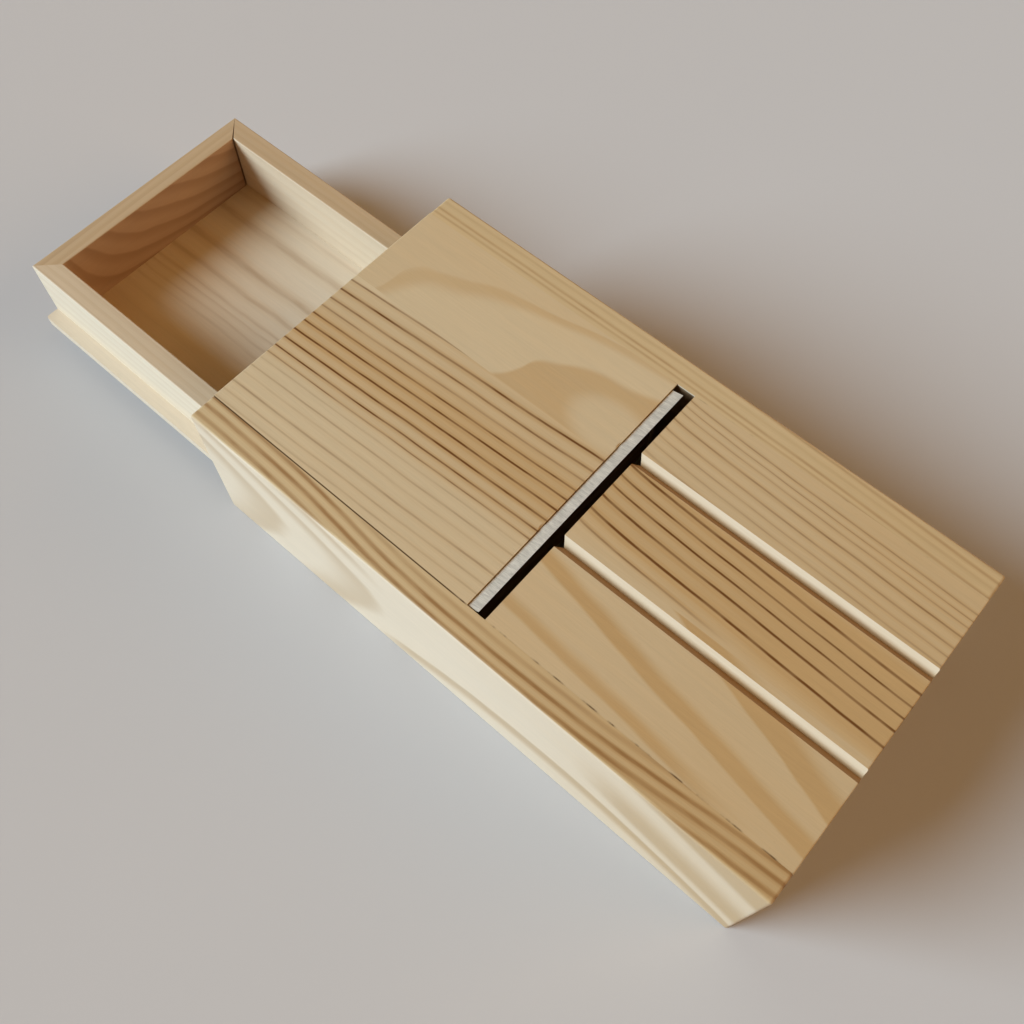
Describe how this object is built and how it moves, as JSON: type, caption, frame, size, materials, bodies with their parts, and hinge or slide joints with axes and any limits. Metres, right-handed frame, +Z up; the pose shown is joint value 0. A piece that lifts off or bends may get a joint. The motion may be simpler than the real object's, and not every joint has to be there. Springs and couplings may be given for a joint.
{
  "type": "soap planer with shavings drawer",
  "caption": "Wooden box planer for soap bars: steel blade in a slot across the deck, V grooves for bevelling, and a drawer below that catches the shavings.",
  "frame": {"origin": "on the table, at the middle of the footprint that the box and its half-open drawer cover together", "axes": "+X along the deck, away from the drawer, towards the grooved infeed half; +Y across the deck; +Z up"},
  "size_m": [0.3266, 0.12, 0.0605],
  "materials": {
    "pine_deck": "sanded, unvarnished",
    "pine_side": "sanded, unvarnished",
    "pine_drawer": "sanded, unvarnished",
    "pine_inner": "sawn, unvarnished",
    "beech_dowel": "plain",
    "blade_steel": "ground, honed edge",
    "screw_steel": "zinc plated"
  },
  "bodies": {
    "case": {"side_board_near": "pine_side", "side_board_far": "pine_side", "outfeed_deck": "pine_deck", "infeed_deck": "pine_deck", "end_board": "pine_inner", "blade_bed": "pine_inner", "blade_washer_near": "screw_steel", "blade_washer_far": "screw_steel", "blade_screw_near": "screw_steel", "blade_screw_far": "screw_steel", "bed_screw_near": "screw_steel", "bed_screw_far": "screw_steel", "deck_dowels": "beech_dowel", "end_board_dowels": "beech_dowel"},
    "drawer": {"drawer_base": "pine_drawer", "drawer_front": "pine_drawer", "drawer_back": "pine_drawer", "drawer_wall_near": "pine_drawer", "drawer_wall_far": "pine_drawer", "drawer_brads": "screw_steel"},
    "blade": {"blade": "blade_steel"}
  },
  "joints": [
    {"name": "drawer_slide", "type": "slide", "parent": "case", "child": "drawer", "axis": [-1, 0, 0], "range_m": [-0.1066, 0.0884]},
    {"name": "blade_set", "type": "slide", "parent": "case", "child": "blade", "axis": [0.7071, 0, 0.7071], "range_m": [-0.0015, 0.001]}
  ]
}
